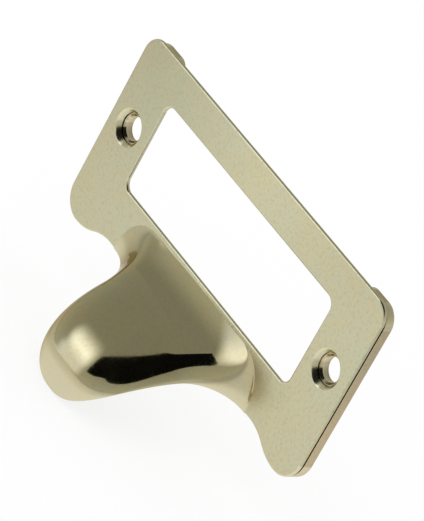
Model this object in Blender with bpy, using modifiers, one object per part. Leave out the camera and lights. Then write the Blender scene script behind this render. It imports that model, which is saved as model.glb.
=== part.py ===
"""Card-frame drawer pull in nickel-plated brass: a thin face plate with a card window, an end block
behind each end, and a hollow finger hood brazed into the lower rail from behind.

Frame: +X to the right, +Z up, and the front faces -Y. The back, which lies on the drawer front, is the
plane Y = 0, and Z = 0 is the line through the two screw holes.
"""

import math

import bmesh
import bpy
from mathutils import Matrix

MM = 0.001

# Card window
WINDOW_WIDTH = 56.3 * MM
WINDOW_HEIGHT = 18.6 * MM
WINDOW_RISE = 0.6 * MM  # window centre above the screw line
WINDOW_R = 2.0 * MM

# Face plate round the window
SIDE_RAIL = 11.85 * MM
TOP_RAIL = 7.4 * MM
LOBE_FALL = 2.8 * MM  # rounded lower corners below the waist, the lower edge beside the hood
WAIST_LAND = 1.0 * MM  # level stretch of the waist beside the hood
TOP_CORNER_R = 3.6 * MM
LOBE_R = 5.0 * MM
FACE_THICKNESS = 0.8 * MM
EDGE_ROUND = 0.15 * MM

# Screw holes, in the middle of the side rails
HOLE_DIAMETER = 4.6 * MM
SINK_DIAMETER = 7.2 * MM
SINK_ANGLE = math.radians(82.0)

# End blocks
BLOCK_THICKNESS = 1.8 * MM
BLOCK_LAND = 1.0 * MM  # metal left between the screw hole and the block's inner edge
BLOCK_TOP_STEP = 0.7 * MM  # block top below the face plate's top
BLOCK_INNER_R = 2.4 * MM

# Finger hood, with depths measured forward from the face plate
HOOD_HALF_WIDTH = 15.7 * MM
HOOD_REACH = 21.9 * MM
RAIL_STRIP = 0.5 * MM  # lower rail left between the window and the hood's mouth
CROWN_FILLET = 2.1 * MM  # root fillet over the roof
SIDE_FILLET = 7.0 * MM  # root fillet beside the upright walls
FILLET_BIAS = 2.2  # how soon the fillet grows from the roof to the walls
ROOT_RISE = 7.2 * MM  # hood's crown above the waist, at the root
ROOF_SLOPE = 0.47  # fall of the roof for each unit forward
SHOULDER_DROP = 11.8 * MM  # from the roof to where the side wall stands upright
PROFILE_POWER = 3.9  # squareness of the shoulder
PLAN_POWER = 3.4  # squareness of the hood seen from above
NOSE_TAPER = 0.21  # share of the width that is lost on the way to the nose
HOOD_WALL = 2.2 * MM
LIP_TRIM = 1.0 * MM  # lip of the nose above where its wall would stand upright
RIM_POWER = 1.95  # how late the rim starts to fall from the waist
RIM_BEND = 0.67  # how steeply it reaches the lip
RIM_ROUND = 0.4 * MM

# Root flange of the hood, behind the lower rail
LEDGE_STEP = 2.0 * MM  # card ledge below the window's lower edge
FLANGE_INSET = 0.4 * MM  # flange's lower edge above the face plate's
FLANGE_CORNER_R = 1.5 * MM
NOTCH_STEP = 0.3 * MM  # flange's arch outside the hollow
FLANGE_LAP = 0.5 * MM  # how far the shell runs into the flange

BRAZE_GAP = 0.3 * MM
MARGIN = 5.0 * MM  # how far cutters run past what they cut

# Plating, a warm nickel that is a little darker on the hood
FACE_NICKEL = (0.70, 0.66, 0.52)
BLOCK_NICKEL = (0.62, 0.57, 0.44)
HOOD_NICKEL = (0.64, 0.60, 0.46)
POLISH = 0.14  # roughness
SHARP_ANGLE = math.radians(35)

# Fineness of the curves
ARC_STEPS = 8
EDGE_STEPS = 16
ROUND_STEPS = 2
HOLE_STEPS = 40
DOME_STEPS = 20
FILLET_STEPS = 8
SECTION_STEPS = 20
CROWDING = math.radians(60)  # how much closer the dome's rows lie near the rim
ROW_SPACE = 0.4 * MM  # first free row of the dome beyond the root fillet
HALVINGS = 40
MERGE = 0.001 * MM

WINDOW_SILL = WINDOW_RISE - WINDOW_HEIGHT / 2
PLATE_HALF = WINDOW_WIDTH / 2 + SIDE_RAIL
PLATE_TOP = WINDOW_RISE + WINDOW_HEIGHT / 2 + TOP_RAIL
CROWN = WINDOW_SILL - RAIL_STRIP - BRAZE_GAP - CROWN_FILLET
WAIST = CROWN - ROOT_RISE
LIP = CROWN - ROOF_SLOPE * HOOD_REACH - SHOULDER_DROP + LIP_TRIM
LOBE_BOTTOM = WAIST - LOBE_FALL
FACE_BACK = -(BLOCK_THICKNESS + BRAZE_GAP)
FACE_FRONT = FACE_BACK - FACE_THICKNESS
HOLE_X = PLATE_HALF - SIDE_RAIL / 2
BLOCK_INNER = HOLE_X - HOLE_DIAMETER / 2 - BLOCK_LAND


def clear_scene():
    for obj in list(bpy.data.objects):
        bpy.data.objects.remove(obj, do_unlink=True)


def new_collection(name):
    collection = bpy.data.collections.new(name)
    bpy.context.scene.collection.children.link(collection)
    return collection


def nickel(name, shade):
    material = bpy.data.materials.new(name)
    material.use_nodes = True
    shader = material.node_tree.nodes["Principled BSDF"]
    shader.inputs["Base Color"].default_value = (*shade, 1.0)
    shader.inputs["Metallic"].default_value = 1.0
    shader.inputs["Roughness"].default_value = POLISH
    return material


def arc(centre, radius, start, end):
    """Points of an arc in the XZ plane, from one angle to another, in degrees."""
    angles = [math.radians(start + (end - start) * i / ARC_STEPS) for i in range(ARC_STEPS + 1)]
    return [(centre[0] + radius * math.cos(a), centre[1] + radius * math.sin(a)) for a in angles]


def whole(half):
    """A closed outline from its right half, which runs from the bottom to the top."""
    return half + [(-x, z) for x, z in reversed(half)]


def spaced(steps):
    """Shares from 0 to 1 that lie closer together towards 1, where the dome turns down."""
    return [math.sin(CROWDING * i / steps) / math.sin(CROWDING) for i in range(steps + 1)]


def crossing(height):
    """Where a falling function of a share from 0 to 1 passes zero, found by halving."""
    low, high = 0.0, 1.0
    for _ in range(HALVINGS):
        middle = (low + high) / 2
        if height(middle) > 0:
            low = middle
        else:
            high = middle
    return high


class HoodForm:
    """The hood's dome over its plan. An inset of one wall gives the hollow, and a flared dome has the root fillet.

    A direction in the plan is a pair, side and ahead, whose powers add up to 1. Spare widens the root all round.
    """

    def __init__(self, inset=0.0, flared=False, spare=0.0):
        self.half_width = HOOD_HALF_WIDTH - inset
        self.reach = HOOD_REACH - inset
        self.crown = CROWN - inset
        self.shoulder = SHOULDER_DROP - inset
        self.flared = flared
        self.spare = spare

    def fillet(self, upright):
        """Radius of the root fillet, from the roof, where the section's normal stands upright, to the walls."""
        if not self.flared:
            return self.spare
        return SIDE_FILLET + (CROWN_FILLET - SIDE_FILLET) * upright**FILLET_BIAS + self.spare

    def point(self, share, side, ahead):
        """X, depth and Z at a share of the way out from the root's crown to the upright wall."""
        depth = self.reach * share * ahead
        left = max(1 - share**PROFILE_POWER, 1e-9)
        drop = self.shoulder * (1 - left ** (1 / PROFILE_POWER))
        turn = (share / left ** (1 / PROFILE_POWER)) ** (PROFILE_POWER - 1)
        lean = turn * side ** (PLAN_POWER - 1) * self.shoulder / self.half_width
        upright = 1 / math.hypot(lean, 1)
        radius = self.fillet(upright)
        rest = max(radius - depth, 0.0)
        flare = (radius - math.sqrt(radius**2 - rest**2)) * upright
        x = self.half_width * (1 - NOSE_TAPER * share * ahead) * share * side + flare * lean
        z = self.crown - ROOF_SLOPE * depth - drop + flare
        return x, depth, z

    def share_at(self, side, ahead, floor):
        return crossing(lambda share: self.point(share, side, ahead)[2] - floor)

    def root(self, floor):
        """Right half of the section in the face plane, from the top down to a floor."""
        end = self.share_at(1.0, 0.0, floor)
        points = [self.point(end * share, 1.0, 0.0) for share in spaced(SECTION_STEPS)]
        return [(x, z) for x, _, z in points]

    def place(self, u, v):
        """A place of a square put on the dome: its lower side is the root and the other three are the rim."""
        across = abs(u) * (1 - v**PLAN_POWER / 2) ** (1 / PLAN_POWER)
        forward = v * (1 - abs(u) ** PLAN_POWER / 2) ** (1 / PLAN_POWER)
        share = (across**PLAN_POWER + forward**PLAN_POWER) ** (1 / PLAN_POWER)
        side, ahead = (across / share, forward / share) if share else (1.0, 0.0)
        floor = rim_floor(side, ahead)
        end = self.share_at(side, ahead, floor)
        x, depth, z = self.point(end * share, side, ahead)
        on_rim = max(abs(u), v) == 1.0
        return math.copysign(x, u), FACE_FRONT - depth, floor if on_rim else z


def rim_height(depth):
    """Height of the hood's rim: level at the root, then falling ever faster to the lip of the nose."""
    ahead = min(depth / HOOD_REACH, 1.0)
    return WAIST - (WAIST - LIP) * (1 - (1 - ahead**RIM_POWER) ** RIM_BEND)


def rim_floor(side, ahead):
    """Height of the rim in one direction of the plan, where the outer skin ends."""
    outside = HoodForm(flared=True)

    def above(share):
        _, depth, z = outside.point(share, side, ahead)
        return z - rim_height(depth)

    return rim_height(outside.point(crossing(above), side, ahead)[1])


MOUTH = HoodForm(flared=True, spare=BRAZE_GAP).root(WAIST)
WAIST_HALF = MOUTH[-1][0] + WAIST_LAND


def lower_edge(x):
    """Height of the plate's lower edge: level at the waist, then two equal arcs down to the lobe."""
    run = PLATE_HALF - LOBE_R - WAIST_HALF
    radius = (run**2 + LOBE_FALL**2) / (4 * LOBE_FALL)
    along = min(max(x - WAIST_HALF, 0.0), run)
    if along <= run / 2:
        return WAIST - radius + math.sqrt(radius**2 - along**2)
    return LOBE_BOTTOM + radius - math.sqrt(radius**2 - (run - along) ** 2)


def lower_points(start, end):
    """The lower edge of the right half, from one X up to but not including another."""
    bend = max(start, WAIST_HALF)
    xs = [bend + (end - bend) * i / EDGE_STEPS for i in range(EDGE_STEPS)]
    if start < bend:
        xs.insert(0, start)
    return [(x, lower_edge(x)) for x in xs]


def end_points(top):
    """The plate's right end: lobe, straight side and top corner, up to a given top."""
    lobe = arc((PLATE_HALF - LOBE_R, LOBE_BOTTOM + LOBE_R), LOBE_R, -90, 0)
    corner = arc((PLATE_HALF - TOP_CORNER_R, top - TOP_CORNER_R), TOP_CORNER_R, 0, 90)
    return lobe + corner


def mesh_object(name, form, collection):
    """An object from a bmesh, with its doubles merged and its faces turned outward."""
    bmesh.ops.remove_doubles(form, verts=form.verts, dist=MERGE)
    bmesh.ops.recalc_face_normals(form, faces=form.faces)
    mesh = bpy.data.meshes.new(name)
    form.to_mesh(mesh)
    form.free()
    obj = bpy.data.objects.new(name, mesh)
    collection.objects.link(obj)
    return obj


def plate(name, outlines, front, back, collection, rounding=EDGE_ROUND):
    """A flat plate with softened edges. Outlines in XZ inside the first one are openings."""
    curve = bpy.data.curves.new(name, "CURVE")
    curve.dimensions = "2D"
    curve.fill_mode = "BOTH"
    curve.extrude = (back - front) / 2 - rounding
    curve.bevel_depth = rounding
    curve.bevel_resolution = ROUND_STEPS - 1
    curve.offset = -rounding
    for outline in outlines:
        spline = curve.splines.new("POLY")
        spline.points.add(len(outline) - 1)
        spline.use_cyclic_u = True
        for point, (x, z) in zip(spline.points, outline):
            point.co = (x, z, 0.0, 1.0)
    guide = bpy.data.objects.new(name, curve)
    collection.objects.link(guide)
    stand = Matrix.Translation((0, (front + back) / 2, 0)) @ Matrix.Rotation(math.pi / 2, 4, "X")
    guide.matrix_world = stand
    bpy.context.view_layer.update()
    evaluated = guide.evaluated_get(bpy.context.evaluated_depsgraph_get())
    flat = bpy.data.meshes.new_from_object(evaluated)
    bpy.data.objects.remove(guide)
    form = bmesh.new()
    form.from_mesh(flat)
    form.transform(stand)
    bpy.data.meshes.remove(flat)
    return mesh_object(name, form, collection)


def add_boolean(obj, other, operation):
    modifier = obj.modifiers.new(other.name, "BOOLEAN")
    modifier.operation = operation
    modifier.solver = "EXACT"
    modifier.object = other


def hide_helper(obj):
    obj.hide_render = True
    obj.display_type = "WIRE"


def screw_cutter(name, x, collection):
    """Countersink and shank hole for one screw, turned about the screw's own axis."""
    shank = HOLE_DIAMETER / 2
    slope = math.tan(SINK_ANGLE / 2)
    sink_end = FACE_FRONT + (SINK_DIAMETER / 2 - shank) / slope
    profile = [
        (0.0, MARGIN),
        (shank, MARGIN),
        (shank, sink_end),
        (SINK_DIAMETER / 2 + MARGIN * slope, FACE_FRONT - MARGIN),
        (0.0, FACE_FRONT - MARGIN),
    ]
    form = bmesh.new()
    points = [form.verts.new((radius, 0.0, -y)) for radius, y in reversed(profile)]
    for a, b in zip(points, points[1:]):
        form.edges.new((a, b))
    mesh = bpy.data.meshes.new(name)
    form.to_mesh(mesh)
    form.free()
    obj = bpy.data.objects.new(name, mesh)
    collection.objects.link(obj)
    obj.location.x = x
    obj.rotation_euler.x = math.pi / 2
    screw = obj.modifiers.new("turn", "SCREW")
    screw.steps = screw.render_steps = HOLE_STEPS
    screw.use_merge_vertices = True
    screw.merge_threshold = MERGE
    hide_helper(obj)
    return obj


def arched(half, arch):
    """A plate outline with an arch in its lower edge. Both halves run to the arch's lower corner."""
    left = [(-x, z) for x, z in reversed(arch[:-1])]
    return whole(half) + left + arch[1:-1]


def make_face_plate(parts):
    half = lower_points(MOUTH[-1][0], PLATE_HALF - LOBE_R) + end_points(PLATE_TOP)
    outline = arched(half, MOUTH)
    x = WINDOW_WIDTH / 2 - WINDOW_R
    z = WINDOW_HEIGHT / 2 - WINDOW_R
    window = arc((x, WINDOW_RISE - z), WINDOW_R, -90, 0) + arc((x, WINDOW_RISE + z), WINDOW_R, 0, 90)
    return plate("face_plate", [outline, whole(window)], FACE_FRONT, FACE_BACK, parts)


def make_end_block(name, side, parts):
    top = PLATE_TOP - BLOCK_TOP_STEP
    inner = arc((BLOCK_INNER + BLOCK_INNER_R, top - BLOCK_INNER_R), BLOCK_INNER_R, 90, 180)
    outline = lower_points(BLOCK_INNER, PLATE_HALF - LOBE_R) + end_points(top) + inner
    return plate(name, [[(side * x, z) for x, z in outline]], -BLOCK_THICKNESS, 0.0, parts)


def make_root_flange(helpers):
    """The flat part of the hood that lies behind the lower rail, between the end blocks."""
    notch = HoodForm(HOOD_WALL, spare=NOTCH_STEP).root(WAIST + FLANGE_INSET)
    outer = BLOCK_INNER - BRAZE_GAP
    corner = (outer - FLANGE_CORNER_R, WINDOW_SILL - LEDGE_STEP - FLANGE_CORNER_R)
    lower = [(x, z + FLANGE_INSET) for x, z in lower_points(notch[-1][0], outer)]
    half = lower + [(outer, lower_edge(outer) + FLANGE_INSET)] + arc(corner, FLANGE_CORNER_R, 0, 90)
    return plate("root_flange", [arched(half, notch)], -BLOCK_THICKNESS, 0.0, helpers, 0.0)


def hood_rows():
    """Rows of the square that the hood is made from, close together in the fillet and at the nose."""
    turns = [math.pi / 2 * i / FILLET_STEPS for i in range(FILLET_STEPS + 1)]
    fillet = [SIDE_FILLET * (1 - math.cos(turn)) / HOOD_REACH for turn in turns]
    free = (SIDE_FILLET + ROW_SPACE) / HOOD_REACH
    return fillet + [share for share in spaced(DOME_STEPS) if share > free]


def border(skin):
    """All the way round a skin: along the rim from left to right, then back along the root."""
    return [row[0] for row in skin] + skin[-1][1:-1] + [row[-1] for row in reversed(skin)] + skin[0][-2:0:-1]


def make_finger_hood(parts, flange):
    """A shell with an outer and an inner skin, open below and behind, joined to its root flange."""
    half = spaced(SECTION_STEPS)
    columns = [-u for u in reversed(half[1:])] + half
    form = bmesh.new()
    soft = form.edges.layers.float.new("bevel_weight_edge")
    borders = []
    for dome in (HoodForm(flared=True), HoodForm(HOOD_WALL)):
        rows = [[dome.place(u, v) for u in columns] for v in hood_rows()]
        rows.insert(0, [(x, FLANGE_LAP - BLOCK_THICKNESS, z) for x, y, z in rows[0]])
        skin = [[form.verts.new(point) for point in row] for row in rows]
        for near, far in zip(skin, skin[1:]):
            for j in range(len(columns) - 1):
                form.faces.new((near[j], near[j + 1], far[j + 1], far[j]))
        borders.append(border(skin))
    outer, inner = borders
    for i in range(len(outer)):
        form.faces.new((outer[i - 1], outer[i], inner[i], inner[i - 1]))
        for edge in borders:
            before_face = max(edge[i - 1].co.y, edge[i].co.y) < FACE_BACK
            form.edges.get((edge[i - 1], edge[i]))[soft] = float(before_face)
    hood = mesh_object("finger_hood", form, parts)
    bevel = hood.modifiers.new("rim_round", "BEVEL")
    bevel.limit_method = "WEIGHT"
    bevel.width = RIM_ROUND
    bevel.segments = ROUND_STEPS
    add_boolean(hood, flange, "UNION")
    return hood


def main():
    clear_scene()
    parts = new_collection("card_frame_pull")
    helpers = new_collection("cutters")
    flange = make_root_flange(helpers)
    hide_helper(flange)
    face = make_face_plate(parts)
    hood = make_finger_hood(parts, flange)
    nodes = [(face, FACE_NICKEL), (hood, HOOD_NICKEL)]
    for name, side in (("left", -1), ("right", 1)):
        screw = screw_cutter(name + "_screw_hole", side * HOLE_X, helpers)
        block = make_end_block(name + "_end_block", side, parts)
        add_boolean(face, screw, "DIFFERENCE")
        add_boolean(block, screw, "DIFFERENCE")
        nodes.append((block, BLOCK_NICKEL))
    origin = bpy.data.objects.new("pull_origin", None)
    parts.objects.link(origin)
    for obj, shade in nodes:
        obj.parent = origin
        obj.data.materials.append(nickel(obj.name + "_nickel", shade))
        obj.data.shade_smooth()
        obj.data.set_sharp_from_angle(angle=SHARP_ANGLE)


main()
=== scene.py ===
import math

import bmesh
import bpy
from mathutils import Matrix, Vector


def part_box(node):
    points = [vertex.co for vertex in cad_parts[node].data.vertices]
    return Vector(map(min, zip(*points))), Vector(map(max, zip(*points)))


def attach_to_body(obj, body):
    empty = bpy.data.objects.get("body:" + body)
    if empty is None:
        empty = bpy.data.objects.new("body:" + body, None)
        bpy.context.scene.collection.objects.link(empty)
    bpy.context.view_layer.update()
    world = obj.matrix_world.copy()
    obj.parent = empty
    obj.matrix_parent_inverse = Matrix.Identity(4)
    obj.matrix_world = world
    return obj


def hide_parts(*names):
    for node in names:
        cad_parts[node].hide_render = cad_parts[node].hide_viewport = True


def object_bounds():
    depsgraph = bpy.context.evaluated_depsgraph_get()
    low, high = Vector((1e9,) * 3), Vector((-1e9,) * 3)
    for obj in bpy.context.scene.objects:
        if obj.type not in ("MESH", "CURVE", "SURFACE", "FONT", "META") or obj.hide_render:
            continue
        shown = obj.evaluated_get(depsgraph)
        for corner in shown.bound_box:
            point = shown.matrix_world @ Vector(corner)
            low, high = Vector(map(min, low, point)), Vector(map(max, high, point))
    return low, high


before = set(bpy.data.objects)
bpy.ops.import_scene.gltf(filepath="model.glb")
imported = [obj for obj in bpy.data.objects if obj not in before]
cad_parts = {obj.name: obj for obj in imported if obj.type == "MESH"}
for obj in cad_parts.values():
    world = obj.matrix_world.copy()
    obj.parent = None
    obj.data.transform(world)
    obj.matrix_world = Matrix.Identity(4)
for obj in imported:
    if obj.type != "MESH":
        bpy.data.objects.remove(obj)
cadBox = [list(corner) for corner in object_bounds()]
mm = 0.001
print("frame loaded:", ", ".join(sorted(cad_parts)))


class Wire:
    # a node's socket that can be used in sums
    def __init__(self, nodes, socket):
        self.nodes = nodes
        self.socket = socket

    def __add__(self, other):
        return self.nodes.math("ADD", self, other)

    def __radd__(self, other):
        return self.nodes.math("ADD", other, self)

    def __sub__(self, other):
        return self.nodes.math("SUBTRACT", self, other)

    def __rsub__(self, other):
        return self.nodes.math("SUBTRACT", other, self)

    def __mul__(self, other):
        return self.nodes.math("MULTIPLY", self, other)

    def __rmul__(self, other):
        return self.nodes.math("MULTIPLY", other, self)

    def __truediv__(self, other):
        return self.nodes.math("DIVIDE", self, other)

    def __rtruediv__(self, other):
        return self.nodes.math("DIVIDE", other, self)

    def __pow__(self, other):
        return self.nodes.math("POWER", self, other)

    def __abs__(self):
        return self.nodes.math("ABSOLUTE", self)

    def out(self, name):
        return Wire(self.nodes, self.socket.node.outputs[name])


class Nodes:
    def __init__(self, tree):
        self.tree = tree

    def join(self, value, socket):
        if isinstance(value, Wire):
            self.tree.links.new(value.socket, socket)
        elif isinstance(value, list):  # a socket that takes several links
            for each in value:
                self.tree.links.new(each.socket, socket)
        else:
            socket.default_value = value

    def add(self, kind, settings=None, inputs=None, output=0):
        node = self.tree.nodes.new(kind)
        for name, value in (settings or {}).items():
            setattr(node, name, value)
        for key, value in (inputs or {}).items():
            self.join(value, node.inputs[key])
        return Wire(self, node.outputs[output]) if node.outputs else node

    def math(self, operation, *values):
        return self.add("ShaderNodeMath", {"operation": operation}, dict(enumerate(values)))

    def step(self, value, start, end):  # 0 before start, 1 after end, smooth between
        settings = {"interpolation_type": "SMOOTHSTEP"}
        sockets = {"Value": value, "From Min": start, "From Max": end}
        return self.add("ShaderNodeMapRange", settings, sockets)

    def mixColour(self, share, first, second):
        # by number, since the node's sockets for colours share their names with others
        return self.add("ShaderNodeMix", {"data_type": "RGBA"}, {0: share, 6: first, 7: second}, 2)

    def where(self):  # a place on the object, with the outputs X, Y and Z
        place = self.add("ShaderNodeTexCoord", None, None, "Object")
        return self.add("ShaderNodeSeparateXYZ", None, {0: place})

    def length(self, x, y):
        return self.math("SQRT", x**2 + y**2)

    def glow(self, colour, strength):
        return self.add("ShaderNodeEmission", None, {"Color": colour, "Strength": strength})

    def mixed(self, share, first, second):
        return self.add("ShaderNodeMixShader", None, {0: share, 1: first, 2: second})

    def partly(self, share, surface):  # see-through apart from a share of the surface
        return self.mixed(share, self.add("ShaderNodeBsdfTransparent"), surface)


def blend(first, second, share):
    return first + (second - first) * share


def added(name, data):
    obj = bpy.data.objects.new(name, data)
    bpy.context.scene.collection.objects.link(obj)
    return obj


def hung(view):
    # stands at a distance from the object and faces it: azimuth counts from the front towards +X
    azimuth, elevation, roll = (math.radians(view[key]) for key in ("azimuth", "elevation", "roll"))
    level = math.cos(elevation)
    towards = Vector((level * math.sin(azimuth), -level * math.cos(azimuth), math.sin(elevation)))
    turn = towards.to_track_quat("Z", "Y").to_matrix().to_4x4()
    return Matrix.Translation(towards * view["distance"]) @ turn @ Matrix.Rotation(roll, 4, "Z")


# Camera, at the photograph's viewing angle

cameraView = {
    "lens": 289.9,
    "frameHeight": 36.0,
    "nearest": 10 * mm,
    "farthest": 20.0,
    "target": Vector((0.6, -4.4, -3.0)) * mm,
    "distance": 732.1 * mm,
    "azimuth": 42.26,
    "elevation": 26.25,
    "roll": 29.03,
}


def makeCamera():
    data = bpy.data.cameras.new("camera")
    data.sensor_fit = "VERTICAL"
    data.sensor_height = cameraView["frameHeight"]
    data.lens = cameraView["lens"]
    data.clip_start = cameraView["nearest"]
    data.clip_end = cameraView["farthest"]
    camera = added("camera", data)
    camera.matrix_world = Matrix.Translation(cameraView["target"]) @ hung(cameraView)
    bpy.context.scene.camera = camera


makeCamera()
print("camera set")


# Studio: white surroundings, a pale floor, and a grey tent with cards for the metal to mirror

white = (1, 1, 1, 1)
studio = {
    "floorDrop": 0.4 * mm,  # below the lip
    "floorSize": 6.0,
    "floorShade": (0.97, 0.97, 0.97, 1),
    "floorGlow": 0.8,  # how much of its whiteness doesn't depend on the shadow
    "tentRadius": 1.6,
    "tentSegments": 64,
    "tentRings": 32,
    "tentSkirt": 0.2,  # reaches below the floor
    "tentTop": 0.37,
    "tentFoot": 0.68,
    "tentCurve": 1.6,
    "tentTint": (1.0, 1.01, 0.91, 1),
    "glowTint": (0.95, 1.0, 1.12, 1),  # of the hung cards
    "apronGrey": 0.62,
    "apronCentre": (10 * mm, -45 * mm),
    "apronStart": 30 * mm,
    "apronEnd": 200 * mm,
    "apronGlow": 0.75,  # more of it in a wedge below the side glow
    "wedgeAzimuth": math.radians(-38),
    "wedgeSpread": 0.27,
    "wedgeStart": 1 * mm,
}

# cards hang in the tent: angles in degrees, the share of a card that fades out towards its edge,
# and corners as shares of the distance
cards = {
    "dark_card": {
        "distance": 0.9,
        "azimuth": 15,
        "elevation": 62,
        "roll": 0,
        "grey": 0.004,
        "fade": 0.0,
        "corners": [
            (-0.98, -0.92),
            (-0.52, -0.88),
            (-0.22, -0.76),
            (-0.05, -0.76),
            (0.10, -0.86),
            (0.30, -0.92),
            (0.62, -0.90),
            (0.84, -0.80),
            (0.94, -0.58),
            (0.90, -0.36),
            (0.84, -0.20),
            (0.79, 0.08),
            (0.60, 0.50),
            (0.00, 0.52),
            (-0.17, 0.40),
            (-0.29, 0.27),
            (-0.43, 0.18),
            (-0.56, 0.10),
            (-0.66, 0.03),
            (-0.77, -0.07),
            (-0.81, -0.24),
            (-0.83, -0.44),
            (-0.90, -0.62),
        ],
    },
    "glow_card": {
        "distance": 0.8,
        "azimuth": -42.5,
        "elevation": 27.5,
        "roll": 37,
        "grey": 2.3,
        "fade": 1.0,
        "corners": [(-0.20, -0.42), (0.20, -0.42), (0.20, 0.42), (-0.20, 0.42)],
    },
    "side_glow_card": {
        "distance": 1.0,
        "azimuth": -37,
        "elevation": 6,
        "roll": 8,
        "grey": 1.35,
        "fade": 0.8,
        "corners": [(-0.25, -0.46), (0.25, -0.46), (0.25, 0.46), (-0.25, 0.46)],
    },
}

# a small card close above the hood's roof, seen only from below, that paints a reflection on the
# roof: a grey roof tone and a painted highlight from its pale right end
roofReflectionCard = {
    "height": -9.0 * mm,  # at the face
    "slope": 0.47,
    "corners": [
        (8.0 * mm, -14.0 * mm),
        (13.6 * mm, -8.3 * mm),
        (15.7 * mm, -8.9 * mm),
        (17.55 * mm, -9.8 * mm),
        (19.25 * mm, -10.95 * mm),
        (19.6 * mm, -10.9 * mm),
        (19.6 * mm, -3.0 * mm),
        (-22.0 * mm, -3.0 * mm),
        (-22.0 * mm, -8.0 * mm),
        (2.0 * mm, -10.0 * mm),
    ],
    "leftFade": (-22.0 * mm, -10.0 * mm),  # see-through to the left of it
    "grey": 0.385,
    "rootGrey": 0.30,  # more of it near the face
    "rootFade": (-7.5 * mm, -3.0 * mm),
    "highlightGrey": 1.5,  # more of it beyond a slanting line, most at a centre
    "endLine": (10.5 * mm, -4.8 * mm),
    "endSlope": -0.712,
    "endFade": (-1.2 * mm, 1.5 * mm),
    "endCentre": (16.2 * mm, -7.2 * mm),
    "endRadius": 7.0 * mm,
    "endDip": 0.7,  # share that is lost on the way from the centre to the radius
}

keyLamp = {
    "distance": 900 * mm,
    "azimuth": -36,
    "elevation": 50,
    "roll": 0,
    "size": 500 * mm,
    "radiance": 0.5,
}


def newMaterial(name):
    material = bpy.data.materials.new(name)
    material.use_nodes = True
    material.node_tree.nodes.clear()
    return material, Nodes(material.node_tree)


def flatSheet(name, corners):
    mesh = bpy.data.meshes.new(name)
    mesh.from_pydata(corners, [], [tuple(range(len(corners)))])
    sheet = added(name, mesh)
    return sheet


def flatSquare(name, half, height):
    corners = ((-half, -half), (half, -half), (half, half), (-half, half))
    return flatSheet(name, [(x, y, height) for x, y in corners])


def cover(sheet, material, nodes, surface):
    nodes.add("ShaderNodeOutputMaterial", None, {"Surface": surface})
    sheet.data.materials.append(material)


def onlyInReflections(obj):
    obj.visible_camera = False
    obj.visible_diffuse = False
    obj.visible_shadow = False


def makeWorld():
    world = bpy.data.worlds.new("white_studio")
    world.use_nodes = True
    world.node_tree.nodes.clear()
    nodes = Nodes(world.node_tree)
    light = nodes.add("ShaderNodeBackground", None, {"Color": white, "Strength": 1.0})
    nodes.add("ShaderNodeOutputWorld", None, {"Surface": light})
    bpy.context.scene.world = world


def makeFloor():
    height = cadBox[0][2] - studio["floorDrop"]
    floor = flatSquare("floor", studio["floorSize"] / 2, height)
    material, nodes = newMaterial("pale_floor")
    matt = nodes.add("ShaderNodeBsdfDiffuse", None, {"Color": studio["floorShade"]})
    path = nodes.add("ShaderNodeLightPath")
    seen = path.out("Is Camera Ray") + path.out("Is Glossy Ray") + path.out("Is Transmission Ray")
    share = nodes.math("MINIMUM", seen, 1.0) * studio["floorGlow"]
    cover(floor, material, nodes, nodes.mixed(share, matt, nodes.glow(white, 1.0)))


def makeTent():
    form = bmesh.new()
    bmesh.ops.create_uvsphere(
        form,
        u_segments=studio["tentSegments"],
        v_segments=studio["tentRings"],
        radius=studio["tentRadius"],
    )
    lower = [vert for vert in form.verts if vert.co.z < -studio["tentSkirt"]]
    bmesh.ops.delete(form, geom=lower, context="VERTS")
    mesh = bpy.data.meshes.new("tent")
    form.to_mesh(mesh)
    form.free()
    mesh.shade_smooth()
    tent = added("tent", mesh)
    material, nodes = newMaterial("tent")
    height = nodes.where().out("Z") / studio["tentRadius"]
    grey = blend(studio["tentTop"], studio["tentFoot"], (1 - height) ** studio["tentCurve"])
    cover(tent, material, nodes, nodes.glow(studio["tentTint"], grey))
    onlyInReflections(tent)


def makeApron():
    # a grey sheet on the floor that starts some way from the object
    height = cadBox[0][2] - studio["floorDrop"] / 2
    apron = flatSquare("apron", studio["tentRadius"], height)
    material, nodes = newMaterial("apron")
    at = nodes.where()
    right, ahead = studio["apronCentre"]
    out = nodes.length(at.out("X") - right, at.out("Y") - ahead)
    share = nodes.step(out, studio["apronStart"], studio["apronEnd"])
    turnX, turnY = math.sin(studio["wedgeAzimuth"]), -math.cos(studio["wedgeAzimuth"])
    along = at.out("X") * turnX + at.out("Y") * turnY
    along = nodes.math("MAXIMUM", along, studio["wedgeStart"])
    aside = abs(at.out("X") * turnY - at.out("Y") * turnX) / along
    wedge = 1 - nodes.step(aside, 0.0, studio["wedgeSpread"])
    grey = studio["apronGrey"] + wedge * studio["apronGlow"]
    cover(apron, material, nodes, nodes.partly(share, nodes.glow(white, grey)))
    onlyInReflections(apron)


def makeCard(name, card):
    distance = card["distance"]
    sheet = flatSheet(name, [(x * distance, y * distance, 0.0) for x, y in card["corners"]])
    sheet.matrix_world = hung(card)
    material, nodes = newMaterial(name)
    surface = nodes.glow(studio["glowTint"], card["grey"])
    if card["fade"]:
        at = nodes.where()
        halfWidth, halfHeight = (max(side) * distance for side in zip(*card["corners"]))
        out = nodes.length(at.out("X") / halfWidth, at.out("Y") / halfHeight)
        surface = nodes.partly(1 - nodes.step(out, 1 - card["fade"], 1.0), surface)
    cover(sheet, material, nodes, surface)
    onlyInReflections(sheet)


# a sheet that paints a reflection on the hood's roof
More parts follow.
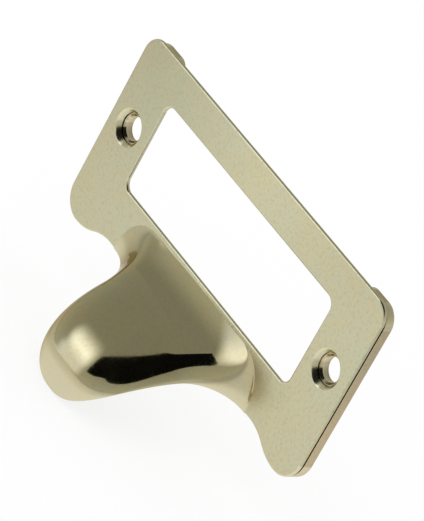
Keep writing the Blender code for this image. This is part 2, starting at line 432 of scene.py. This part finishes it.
def makeRoofReflectionCard(card):
    def lifted(x, y):
        return x, y, card["height"] + card["slope"] * (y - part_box("face_plate")[0].y)

    sheet = flatSheet("roof_reflection_card", [lifted(x, y) for x, y in card["corners"]])
    if sheet.data.polygons[0].normal.z > 0:
        sheet.data.flip_normals()
    material, nodes = newMaterial("roof_reflection_card")
    at = nodes.where()
    startX, startY = card["endLine"]
    beyond = at.out("Y") - startY - (at.out("X") - startX) * card["endSlope"]
    pale = nodes.step(beyond, *card["endFade"])
    right, ahead = card["endCentre"]
    out = nodes.length(at.out("X") - right, at.out("Y") - ahead)
    dip = card["endDip"] * nodes.step(out, 0.0, card["endRadius"])
    # painted reflection: the roof's grey tone, more of it near the face, and a painted highlight
    # beyond the slanting line at the right end, most at its centre
    grey = card["grey"] + nodes.step(at.out("Y"), *card["rootFade"]) * card["rootGrey"]
    grey = grey + pale * (1 - dip) * card["highlightGrey"]
    colour = nodes.mixColour(pale, studio["tentTint"], studio["glowTint"])
    above = nodes.add("ShaderNodeNewGeometry", None, None, "Backfacing")
    share = (1 - above) * nodes.step(at.out("X"), *card["leftFade"])
    cover(sheet, material, nodes, nodes.partly(share, nodes.glow(colour, grey)))
    onlyInReflections(sheet)


def makeKeyLamp():
    data = bpy.data.lights.new("key_lamp", "AREA")
    data.shape = "SQUARE"
    data.size = keyLamp["size"]
    data.energy = keyLamp["radiance"] * math.pi * keyLamp["size"] ** 2
    lamp = added("key_lamp", data)
    lamp.matrix_world = hung(keyLamp)
    lamp.visible_camera = False
    lamp.visible_glossy = False


makeWorld()
makeFloor()
makeTent()
makeApron()
for name, card in cards.items():
    makeCard(name, card)
makeRoofReflectionCard(roofReflectionCard)
makeKeyLamp()
bpy.context.scene.view_settings.view_transform = "Standard"
print("studio set")


# Nickel plating

facePlating = {
    "warm": (0.585, 0.540, 0.350, 1),
    "cool": (0.560, 0.550, 0.375, 1),
    "grazing": (0.80, 0.76, 0.66, 1),  # tint where the surface is seen edge on
    "tarnish": (0.33, 0.29, 0.17, 1),
    # lighter edge colour: rubbed wear and a painted highlight
    "wornAndSheen": (0.80, 0.74, 0.52, 1),
    "roughness": (0.15, 0.28),
    "patch": 12 * mm,  # size of the cooler and warmer areas
    "patchDetail": 3.0,
    "patchShare": 0.6,  # the rest is mottle
    "patchRange": (0.38, 0.62),
    "mottle": 2.5 * mm,
    "fineDetail": 2.0,
    "film": 0.6,  # size of the duller areas, as a share of a patch
    "filmRange": (0.45, 0.75),
    "filmShare": 0.6,  # the rest of the dullness is grain
    "freckle": 1.6 * mm,
    "freckleRange": (0.66, 0.78),
    "freckleTarnish": 0.5,
    "speckle": 0.6 * mm,
    "speckleRange": (0.45, 0.75),
    "speckleTarnish": 0.22,
    "tarnishDullness": 0.15,
    "edgeWearAndSheen": 0.6,
    "grain": (0.9 * mm, 0.9 * mm, 0.05 * mm),  # polishing lines run along the length
    "grainHeight": 0.0006 * mm,
    "waviness": 5 * mm,
    "waveDetail": 1.0,
    "waveHeight": 0.004 * mm,
}
# the same nickel, browner and darker on the end blocks: painted shade on their sides
shadedBlockPlating = dict(
    facePlating,
    warm=(0.560, 0.460, 0.285, 1),
    cool=(0.520, 0.440, 0.290, 1),
    roughness=(0.14, 0.26),
    grain=(0.9 * mm, 0.05 * mm, 0.9 * mm),
)
# the same nickel, darker and warmer on the hood: painted shade and a painted warm reflection from
# below
shadedHoodPlating = dict(
    facePlating,
    warm=(0.475, 0.415, 0.245, 1),
    cool=(0.450, 0.418, 0.268, 1),
    grazing=(0.60, 0.54, 0.44, 1),
    roughness=(0.06, 0.13),
    patch=9 * mm,
    grain=(0.05 * mm, 0.9 * mm, 0.9 * mm),
)


def nickel(name, plating):
    material, nodes = newMaterial(name)
    place = nodes.add("ShaderNodeTexCoord", None, None, "Object")
    fineDetail = plating["fineDetail"]

    def noise(size, detail):
        sockets = {"Vector": place, "Scale": 1 / size, "Detail": detail}
        return nodes.add("ShaderNodeTexNoise", None, sockets)

    def lines(sizes):
        scale = tuple(1 / size for size in sizes)
        drawn = nodes.add("ShaderNodeMapping", None, {"Vector": place, "Scale": scale})
        sockets = {"Vector": drawn, "Scale": 1.0, "Detail": fineDetail}
        return nodes.add("ShaderNodeTexNoise", None, sockets)

    large = noise(plating["patch"], plating["patchDetail"]) * plating["patchShare"]
    small = noise(plating["mottle"], plating["patchDetail"]) * (1 - plating["patchShare"])
    patches = nodes.step(large + small, *plating["patchRange"])
    freckles = nodes.step(noise(plating["freckle"], fineDetail), *plating["freckleRange"])
    film = noise(plating["patch"] * plating["film"], fineDetail)
    film = nodes.step(film, *plating["filmRange"])
    specks = nodes.step(noise(plating["speckle"], fineDetail), *plating["speckleRange"])
    grain = lines(plating["grain"])
    edge = nodes.add("ShaderNodeAttribute", {"attribute_name": "edge"}, None, "Fac")

    colour = nodes.mixColour(patches, plating["warm"], plating["cool"])
    tarnish = freckles * film * plating["freckleTarnish"] + specks * plating["speckleTarnish"]
    colour = nodes.mixColour(tarnish, colour, plating["tarnish"])
    # lighter colour on the narrow rounded edges: rubbed wear and a painted highlight along them
    colour = nodes.mixColour(edge * plating["edgeWearAndSheen"], colour, plating["wornAndSheen"])

    dullness = plating["filmShare"] * film + (1 - plating["filmShare"]) * grain
    roughness = blend(*plating["roughness"], dullness) + plating["tarnishDullness"] * tarnish

    waves = noise(plating["waviness"], plating["waveDetail"])
    height = grain * plating["grainHeight"] + waves * plating["waveHeight"]
    bump = nodes.add("ShaderNodeBump", None, {"Strength": 1.0, "Distance": 1.0, "Height": height})
    sockets = {"Base Color": colour, "Metallic": 1.0, "Roughness": roughness, "Normal": bump}
    sockets["Specular Tint"] = plating["grazing"]
    shader = nodes.add("ShaderNodeBsdfPrincipled", None, sockets)
    nodes.add("ShaderNodeOutputMaterial", None, {"Surface": shader})
    return material


faceNickel = nickel("face_nickel", facePlating)
shadedBlockNickel = nickel("block_nickel", shadedBlockPlating)
shadedHoodNickel = nickel("hood_nickel", shadedHoodPlating)
print("plating made")


# Plate outline, shared by the face, the end blocks and the hood's flange

faceLow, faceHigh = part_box("face_plate")
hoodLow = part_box("finger_hood")[0]
blockLow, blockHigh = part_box("right_end_block")

outline = {
    "half": faceHigh.x,
    "top": faceHigh.z,
    "bottom": faceLow.z,
    "front": faceLow.y,
    "lobeRadius": 5.0 * mm,
    "cornerRadius": 3.6 * mm,
    "lobeFall": 2.8 * mm,
    "waistLand": 1.0 * mm,
    "arcSteps": 24,
    "edgeSteps": 48,
    "doubles": 0.0005 * mm,
    "sharpAngle": math.radians(40),
    "wearAndSheenFace": (1.2 * mm) ** 2,  # smaller faces lie on the rounded edges
    "normalWeight": 100,
}
waist = outline["bottom"] + outline["lobeFall"]

# The hood is a dome over its plan that flares out at its root

hoodShape = {
    "Half Width": 15.7 * mm,
    "Reach": outline["front"] - hoodLow.y,
    "Crown": -11.6 * mm,
    "Roof Slope": 0.47,
    "Shoulder": 11.8 * mm,
    "Profile Power": 3.9,
    "Plan Power": 3.4,
    "Taper": 0.21,
    "Crown Fillet": 2.1 * mm,
    "Side Fillet": 7.6 * mm,
    "Fillet Bias": 3.0,
    "Crown Power": 1.1,  # 2 is a round fillet, 1 a straight flare
    "Side Power": 1.9,
    "Tail Power": 2.25,  # more lets the flare run out more slowly onto the face
    "Crown Stretch": 3.5,  # depth of the flare as a share of its height
    "Side Stretch": 1.08,
    "Stretch Bias": 4.0,
    "Wall": 2.2 * mm,
    "Waist": waist,
    "Lip": hoodLow.z,
    "Rim Power": 1.95,
    "Rim Bend": 0.67,
    "Front": outline["front"],
    "Plug End": -1.3 * mm,
}
hoodMesh = {
    "columns": 121,
    "rows": 100,
    "rootCrowding": 0.5,  # less puts more rows into the root's fillet
    "rimCrowding": math.radians(60),
    "halvings": 24,
    "archHalvings": 40,
    "leastRise": 1e-7,
    "leastArchRise": 1e-9,
    "leastShare": 1e-6,
    "rimRound": 0.4 * mm,
    "rimSteps": 4,
    "rimStart": 0.1 * mm,  # edges further behind the face's front stay as they are
    "sharpAngle": math.radians(35),
    "rimWearAndSheen": (0.975, 0.998),
    "flangeInset": 0.4 * mm,
    "flangeCorner": 1.5 * mm,
    "ledgeStep": 2.0 * mm,
    "notchStep": 0.3 * mm,
    "blockGap": 0.3 * mm,
    "rootSteps": 40,
    "brazeGap": 0.3 * mm,
    "hairline": 0.005 * mm,  # between the hood's root and the face's mouth
}


def rootPoint(share, inset, spare):
    shape = hoodShape
    power = shape["Profile Power"]
    shoulder = shape["Shoulder"] - inset
    width = shape["Half Width"] - inset
    left = max(1 - share**power, hoodMesh["leastArchRise"]) ** (1 / power)
    lean = (share / left) ** (power - 1) * shoulder / width
    upright = 1 / math.hypot(lean, 1)
    fillet = 0.0
    if not inset:
        level = upright ** shape["Fillet Bias"]
        fillet = blend(shape["Side Fillet"], shape["Crown Fillet"], level)
    flare = (fillet + spare) * upright
    x = width * share + flare * lean
    return x, shape["Crown"] - inset - shoulder * (1 - left) + flare


def rootArch(floor, inset, spare):
    low, high = 0.0, 1.0
    for _ in range(hoodMesh["archHalvings"]):
        middle = (low + high) / 2
        above = rootPoint(middle, inset, spare)[1] > floor
        low, high = (middle, high) if above else (low, middle)
    steps = hoodMesh["rootSteps"]
    turn = hoodMesh["rimCrowding"]
    shares = [high * math.sin(turn * i / steps) / math.sin(turn) for i in range(steps + 1)]
    return [rootPoint(share, inset, spare) for share in shares]


def arc(centre, radius, start, end):
    steps = outline["arcSteps"]
    angles = [math.radians(start + (end - start) * i / steps) for i in range(steps + 1)]
    return [(centre[0] + radius * math.cos(a), centre[1] + radius * math.sin(a)) for a in angles]


mouth = rootArch(waist, 0.0, hoodMesh["hairline"])
waistHalf = rootArch(waist, 0.0, hoodMesh["brazeGap"])[-1][0] + outline["waistLand"]


def lowerEdge(x):
    run = outline["half"] - outline["lobeRadius"] - waistHalf
    fall = outline["lobeFall"]
    radius = (run**2 + fall**2) / (4 * fall)
    along = min(max(x - waistHalf, 0.0), run)
    if along <= run / 2:
        return waist - radius + math.sqrt(radius**2 - along**2)
    return waist - fall + radius - math.sqrt(radius**2 - (run - along) ** 2)


def lowerPoints(start, end):
    bend = max(start, waistHalf)
    steps = outline["edgeSteps"]
    points = [(bend + (end - bend) * i / steps) for i in range(steps)]
    points = [start] + points if start < bend else points
    return [(x, lowerEdge(x)) for x in points]


def endPoints(top):
    half, lobe, corner = outline["half"], outline["lobeRadius"], outline["cornerRadius"]
    lower = arc((half - lobe, outline["bottom"] + lobe), lobe, -90, 0)
    return lower + arc((half - corner, top - corner), corner, 0, 90)


def finishForm(name, form):
    bmesh.ops.remove_doubles(form, verts=form.verts, dist=outline["doubles"])
    bmesh.ops.recalc_face_normals(form, faces=form.faces)
    mesh = bpy.data.meshes.new(name)
    form.to_mesh(mesh)
    form.free()
    return added(name, mesh)


def flatPlate(name, loops, front, back, unrounded=()):
    # several loops meet along x = 0, and edges between unrounded points stay as they are
    form = bmesh.new()
    soft = form.edges.layers.float.new("bevel_weight_edge")
    square = set(unrounded)
    for loop in loops:
        near = [form.verts.new((x, front, z)) for x, z in loop]
        far = [form.verts.new((x, back, z)) for x, z in loop]
        form.faces.new(near)
        form.faces.new(far)
        for i in range(len(loop)):
            if abs(loop[i - 1][0]) + abs(loop[i][0]) < outline["doubles"] and len(loops) > 1:
                continue
            form.faces.new((near[i - 1], near[i], far[i], far[i - 1]))
            if not (loop[i - 1] in square and loop[i] in square):
                for side in (near, far):
                    form.edges.get((side[i - 1], side[i]))[soft] = 1.0
    return finishForm(name, form)


def bakeModifiers(piece):
    # makes what the modifiers show the piece's own mesh
    bpy.context.view_layer.update()
    graph = bpy.context.evaluated_depsgraph_get()
    mesh = bpy.data.meshes.new_from_object(piece.evaluated_get(graph))
    piece.modifiers.clear()
    piece.data = mesh


def softenEdges(piece, width, steps):
    bevel = piece.modifiers.new("soft_edges", "BEVEL")
    bevel.limit_method = "WEIGHT"
    bevel.width = width
    bevel.segments = steps


def combine(piece, other, operation):
    boolean = piece.modifiers.new(other.name, "BOOLEAN")
    boolean.operation = operation
    boolean.solver = "EXACT"
    boolean.object = other


def polish(piece, material, sharpAngle):
    # smooth faces with crisp borders
    mesh = piece.data
    mesh.materials.clear()
    mesh.materials.append(material)
    mesh.shade_smooth()
    mesh.set_sharp_from_angle(angle=sharpAngle)
    normals = piece.modifiers.new("face_normals", "WEIGHTED_NORMAL")
    normals.keep_sharp = True
    normals.weight = outline["normalWeight"]
    bakeModifiers(piece)


def markEdges(piece):
    # an attribute that is 1 on narrow rounded edges
    form = bmesh.new()
    form.from_mesh(piece.data)
    areas = [max(face.calc_area() for face in vert.link_faces) for vert in form.verts]
    form.free()
    mark = piece.data.attributes.new("edge", "FLOAT", "POINT")
    mark.data.foreach_set("value", [float(area < outline["wearAndSheenFace"]) for area in areas])


def attach(piece, slot, *nodes):
    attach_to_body(piece, "root")
    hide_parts(*nodes)


# Screw holes

screwHole = {
    "across": 4.6 * mm,
    "sinkAcross": 7.2 * mm,
    "sinkAngle": math.radians(82),
    "rimRound": 0.15 * mm,
    "rimDepth": 0.35,  # of the sink's rounded rim, as a share of its round
    "rimSpread": 1.6,
    "endInset": 5.925 * mm,
    "steps": 96,
    "reach": 5.0 * mm,
}


def holeCutter(name, x):
    shank = screwHole["across"] / 2
    slope = math.tan(screwHole["sinkAngle"] / 2)
    sink = screwHole["sinkAcross"] / 2
    reach = screwHole["reach"]
    front = outline["front"]
    lead = screwHole["rimRound"]
    depth, spread = lead * screwHole["rimDepth"], lead * screwHole["rimSpread"]
    profile = [
        (0.0, reach),
        (shank, reach),
        (shank, front + (sink - shank) / slope),
        (sink - lead * slope, front + lead),
        (sink, front + depth),
        (sink + spread, front - depth),
        (sink + spread, front - reach),
        (0.0, front - reach),
    ]
    form = bmesh.new()
    verts = [form.verts.new((x + radius, y, 0.0)) for radius, y in profile]
    edges = [form.edges.new(pair) for pair in zip(verts, verts[1:])]
    bmesh.ops.spin(
        form,
        geom=verts + edges,
        cent=(x, 0, 0),
        axis=(0, 1, 0),
        angle=math.tau,
        steps=screwHole["steps"],
        use_merge=True,
    )
    cutter = finishForm(name, form)
    cutter.hide_render = True
    return cutter


holeCentre = outline["half"] - screwHole["endInset"]
cutters = {
    side: holeCutter(name + "_hole", side * holeCentre)
    for name, side in (("left", -1), ("right", 1))
}
print("screw holes ready")


# Face plate

facePlate = {
    "windowHalfWidth": 28.15 * mm,
    "windowHalfHeight": 9.3 * mm,
    "windowRise": 0.6 * mm,
    "windowRadius": 2.0 * mm,
    "edgeRound": 0.36 * mm,
    "edgeSteps": 4,
    "backReach": 0.05 * mm,  # nearer the blocks than the solid, so the seam is a fine line
}


def makeFacePlate():
    size = facePlate
    x = size["windowHalfWidth"] - size["windowRadius"]
    z = size["windowHalfHeight"] - size["windowRadius"]
    rise, radius = size["windowRise"], size["windowRadius"]
    window = arc((x, rise - z), radius, -90, 0) + arc((x, rise + z), radius, 0, 90)
    lower = lowerPoints(mouth[-1][0], outline["half"] - outline["lobeRadius"])
    right = mouth[:-1] + lower + endPoints(outline["top"]) + [(0.0, outline["top"])]
    right += [(0.0, rise + size["windowHalfHeight"])] + window[::-1]
    right += [(0.0, rise - size["windowHalfHeight"])]
    left = [(-x, z) for x, z in reversed(right)]
    arch = mouth[:-1] + lower[:1]
    square = arch + [(-x, z) for x, z in arch]
    back = faceHigh.y + size["backReach"]
    piece = flatPlate("nickel_face", [right, left], outline["front"], back, square)
    softenEdges(piece, size["edgeRound"], size["edgeSteps"])
    for cutter in cutters.values():
        combine(piece, cutter, "DIFFERENCE")
    bakeModifiers(piece)
    polish(piece, faceNickel, outline["sharpAngle"])
    markEdges(piece)
    attach(piece, "face_nickel", "face_plate")
    return piece


face = makeFacePlate()
print("face plate made:", len(face.data.polygons), "faces")


# End blocks

endBlock = {
    "top": blockHigh.z,
    "inner": blockLow.x,
    "innerRadius": 2.4 * mm,
    "frontReach": 0.05 * mm,  # nearer the face than the solid
    "edgeRound": 0.22 * mm,
    "edgeSteps": 3,
}


def makeEndBlock(name, side, node):
    size = endBlock
    radius = size["innerRadius"]
    inner = arc((size["inner"] + radius, size["top"] - radius), radius, 90, 180)
    loop = lowerPoints(size["inner"], outline["half"] - outline["lobeRadius"])
    loop += endPoints(size["top"]) + inner
    front = blockLow.y - size["frontReach"]
    piece = flatPlate(name, [[(side * x, z) for x, z in loop]], front, blockHigh.y)
    softenEdges(piece, size["edgeRound"], size["edgeSteps"])
    combine(piece, cutters[side], "DIFFERENCE")
    bakeModifiers(piece)
    polish(piece, shadedBlockNickel, outline["sharpAngle"])
    markEdges(piece)
    attach(piece, "block_nickel", node)


makeEndBlock("nickel_block_left", -1, "left_end_block")
makeEndBlock("nickel_block_right", 1, "right_end_block")
print("end blocks made")


# Finger hood, by geometry nodes


class HoodRule:
    # the dome as sums on fields: an inset of one wall gives the hollow
    def __init__(self, nodes, size, inset, flared):
        self.nodes = nodes
        self.size = size
        self.flared = flared
        self.width = size["Half Width"] - inset
        self.reach = size["Reach"] - inset
        self.crown = size["Crown"] - inset
        self.shoulder = size["Shoulder"] - inset

    def point(self, share, side, ahead):
        nodes, size = self.nodes, self.size
        power = size["Profile Power"]
        depth = self.reach * share * ahead
        rise = nodes.math("MAXIMUM", 1 - share**power, hoodMesh["leastRise"])
        left = rise ** (1 / power)
        drop = self.shoulder * (1 - left)
        x = self.width * (1 - size["Taper"] * share * ahead) * share * side
        z = self.crown - size["Roof Slope"] * depth - drop
        if not self.flared:
            return x, depth, z
        lean = (share / left) ** (power - 1) * side ** (size["Plan Power"] - 1)
        lean = lean * self.shoulder / self.width
        upright = 1 / nodes.math("SQRT", lean**2 + 1)
        fillet = upright ** size["Fillet Bias"]
        fillet = blend(size["Side Fillet"], size["Crown Fillet"], fillet)
        level = upright ** size["Stretch Bias"]
        deep = fillet * blend(size["Side Stretch"], size["Crown Stretch"], level)
        rest = nodes.math("MAXIMUM", 1 - depth / deep, 0.0)
        power = blend(size["Side Power"], size["Crown Power"], level)
        tail = blend(size["Tail Power"], size["Crown Power"], level)
        run = nodes.math("MAXIMUM", 1 - rest**power, 0.0) ** (1 / tail)
        flare = fillet * (1 - run) * upright
        return x + flare * lean, depth, z + flare


def rimHeight(nodes, size, depth):
    ahead = nodes.math("MINIMUM", depth / size["Reach"], 1.0)
    fall = 1 - (1 - ahead ** size["Rim Power"]) ** size["Rim Bend"]
    return size["Waist"] - (size["Waist"] - size["Lip"]) * fall


def named(nodes, name):
    return nodes.add("GeometryNodeInputNamedAttribute", {"data_type": "FLOAT"}, {"Name": name})


def keep(nodes, geometry, name, value):
    settings = {"data_type": "FLOAT", "domain": "POINT"}
    sockets = {"Geometry": geometry, "Name": name, "Value": value}
    return nodes.add("GeometryNodeStoreNamedAttribute", settings, sockets)


def halving(nodes, geometry, name, height):
    # keeps, by name, the share from 0 to 1 at which a falling height passes zero
    geometry = keep(nodes, geometry, name, 0.0)
    start = nodes.tree.nodes.new("GeometryNodeRepeatInput")
    end = nodes.tree.nodes.new("GeometryNodeRepeatOutput")
    start.pair_with_output(end)
    end.repeat_items.new("FLOAT", "Step")
    nodes.join(hoodMesh["halvings"], start.inputs["Iterations"])
    nodes.join(geometry, start.inputs["Geometry"])
    nodes.join(0.5, start.inputs["Step"])
    step = Wire(nodes, start.outputs["Step"])
    share = named(nodes, name)
    above = nodes.math("GREATER_THAN", height(share + step), 0.0)
    kept = keep(nodes, Wire(nodes, start.outputs["Geometry"]), name, share + step * above)
    nodes.join(kept, end.inputs["Geometry"])
    nodes.join(step * 0.5, end.inputs["Step"])
    return Wire(nodes, end.outputs["Geometry"])


def hoodTree():
    tree = bpy.data.node_groups.new("finger_hood_shell", "GeometryNodeTree")
    tree.interface.new_socket("Geometry", in_out="OUTPUT", socket_type="NodeSocketGeometry")
    sockets = {}
    for name in hoodShape:
        socket = tree.interface.new_socket(name, in_out="INPUT", socket_type="NodeSocketFloat")
        sockets[name] = socket.identifier
    nodes = Nodes(tree)
    given = nodes.add("NodeGroupInput")
    size = {name: given.out(name) for name in hoodShape}

    rows, columns = hoodMesh["rows"], hoodMesh["columns"]
    plug = 1 / rows  # the first row lies at the plug's end, behind the face
    grid = nodes.add(
        "GeometryNodeMeshGrid",
        None,
        {"Size X": 2.0, "Size Y": 1 + plug, "Vertices X": columns, "Vertices Y": rows + 2},
    )
    at = nodes.add("ShaderNodeSeparateXYZ", None, {0: nodes.add("GeometryNodeInputPosition")})
    crowd = hoodMesh["rimCrowding"]
    root = hoodMesh["rootCrowding"]
    level = nodes.math("MAXIMUM", at.out("Y") + (1 - plug) / 2, 0.0)
    forward = nodes.math("SINE", level**2 * (1 + root) / (level + root) * crowd) / math.sin(crowd)
    across = nodes.math("SINE", at.out("X") * crowd) / math.sin(crowd)
    behind = nodes.math("LESS_THAN", at.out("Y"), -(1 + plug) / 2 + plug / 2)
    skin = keep(nodes, grid, "behind", behind)
    skin = keep(nodes, skin, "across", across)
    skin = keep(nodes, skin, "forward", forward)

    u, v = named(nodes, "across"), named(nodes, "forward")
    power = size["Plan Power"]
    x = abs(u) * (1 - v**power / 2) ** (1 / power)
    y = v * (1 - abs(u) ** power / 2) ** (1 / power)
    out = (x**power + y**power) ** (1 / power)
    some = nodes.math("MAXIMUM", out, hoodMesh["leastShare"])
    side, ahead = x / some, y / some

    outer = HoodRule(nodes, size, 0.0, True)
    inner = HoodRule(nodes, size, size["Wall"], False)

    def aboveRim(share):
        _, depth, height = outer.point(share, side, ahead)
        return height - rimHeight(nodes, size, depth)

    skin = halving(nodes, skin, "outerEnd", aboveRim)
    rimDepth = outer.point(named(nodes, "outerEnd"), side, ahead)[1]
    skin = keep(nodes, skin, "rim", rimHeight(nodes, size, rimDepth))
    rim = named(nodes, "rim")
    skin = halving(
        nodes,
        skin,
        "innerEnd",
        lambda share: inner.point(share, side, ahead)[2] - rim,
    )
    hind = named(nodes, "behind")

    def position(rule, end):
        px, depth, pz = rule.point(named(nodes, end) * out, side, ahead)
        py = (size["Front"] - depth) * (1 - hind) + size["Plug End"] * hind
        px = px * nodes.math("SIGN", u)
        return nodes.add("ShaderNodeCombineXYZ", None, {"X": px, "Y": py, "Z": pz})

    # the lighter band along the rim: rubbed wear and a painted highlight
    wornAndSheen = nodes.step(nodes.math("MAXIMUM", abs(u), v), *hoodMesh["rimWearAndSheen"])
    skin = keep(nodes, skin, "edge", wornAndSheen)
    skin = nodes.add("GeometryNodeFlipFaces", None, {"Mesh": skin})
    hollow = nodes.add(
        "GeometryNodeSetPosition",
        None,
        {"Geometry": skin, "Position": position(inner, "innerEnd")},
    )
    shell = nodes.add(
        "GeometryNodeExtrudeMesh",
        {"mode": "FACES"},
        {"Mesh": hollow, "Offset Scale": 0.0, "Individual": False},
    )
    domed = nodes.add(
        "GeometryNodeSetPosition",
        None,
        {"Geometry": shell, "Selection": shell.out("Top"), "Position": position(outer, "outerEnd")},
    )
    turned = nodes.add("GeometryNodeFlipFaces", None, {"Mesh": hollow})
    both = nodes.add("GeometryNodeJoinGeometry", None, {"Geometry": [domed, turned]})
    whole = nodes.add(
        "GeometryNodeMergeByDistance",
        None,
        {"Geometry": both, "Distance": outline["doubles"]},
    )
    for name in ("behind", "across", "forward", "outerEnd", "innerEnd", "rim"):
        whole = nodes.add("GeometryNodeRemoveAttribute", None, {"Geometry": whole, "Name": name})
    whole = nodes.add("GeometryNodeRealizeInstances", None, {"Geometry": whole})
    whole = nodes.add("GeometryNodeSetMaterial", None, {"Geometry": whole, "Material": shadedHoodNickel})
    nodes.add("NodeGroupOutput", None, {"Geometry": whole})
    return tree, sockets


def makeFlange():
    # the flat part behind the lower rail, between the end blocks
    size = hoodMesh
    notch = rootArch(waist + size["flangeInset"], hoodShape["Wall"], size["notchStep"])
    outer = blockLow.x - size["blockGap"]
    sill = facePlate["windowRise"] - facePlate["windowHalfHeight"] - size["ledgeStep"]
    radius = size["flangeCorner"]
    lower = lowerPoints(notch[-1][0], outer) + [(outer, lowerEdge(outer))]
    half = [(x, z + size["flangeInset"]) for x, z in lower]
    half += arc((outer - radius, sill - radius), radius, 0, 90)
    loop = half + [(-x, z) for x, z in reversed(half)]
    loop += [(-x, z) for x, z in reversed(notch[:-1])] + notch[1:-1]
    flange = flatPlate("root_flange", [loop], blockLow.y, 0.0)
    flange.hide_render = True
    return flange


def makeFingerHood():
    tree, sockets = hoodTree()
    piece = added("nickel_hood", bpy.data.meshes.new("nickel_hood"))
    modifier = piece.modifiers.new("hood_shell", "NODES")
    modifier.node_group = tree
    for name, value in hoodShape.items():
        modifier[sockets[name]] = value
    bakeModifiers(piece)
    form = bmesh.new()
    form.from_mesh(piece.data)
    bmesh.ops.recalc_face_normals(form, faces=form.faces)
    print("hood open edges:", sum(not edge.is_manifold for edge in form.edges))
    soft = form.edges.layers.float.new("bevel_weight_edge")
    start = outline["front"] + hoodMesh["rimStart"]
    for edge in form.edges:
        before = max(vert.co.y for vert in edge.verts) < start
        if before and edge.calc_face_angle(0.0) > hoodMesh["sharpAngle"]:
            edge[soft] = 1.0
    form.to_mesh(piece.data)
    form.free()
    softenEdges(piece, hoodMesh["rimRound"], hoodMesh["rimSteps"])
    flange = makeFlange()
    combine(piece, flange, "UNION")
    bakeModifiers(piece)
    bpy.data.objects.remove(flange)
    polish(piece, shadedHoodNickel, hoodMesh["sharpAngle"])
    attach(piece, "hood_nickel", "finger_hood")
    return piece


hood = makeFingerHood()
print("finger hood made:", len(hood.data.polygons), "faces")

for cutter in cutters.values():
    bpy.data.objects.remove(cutter)
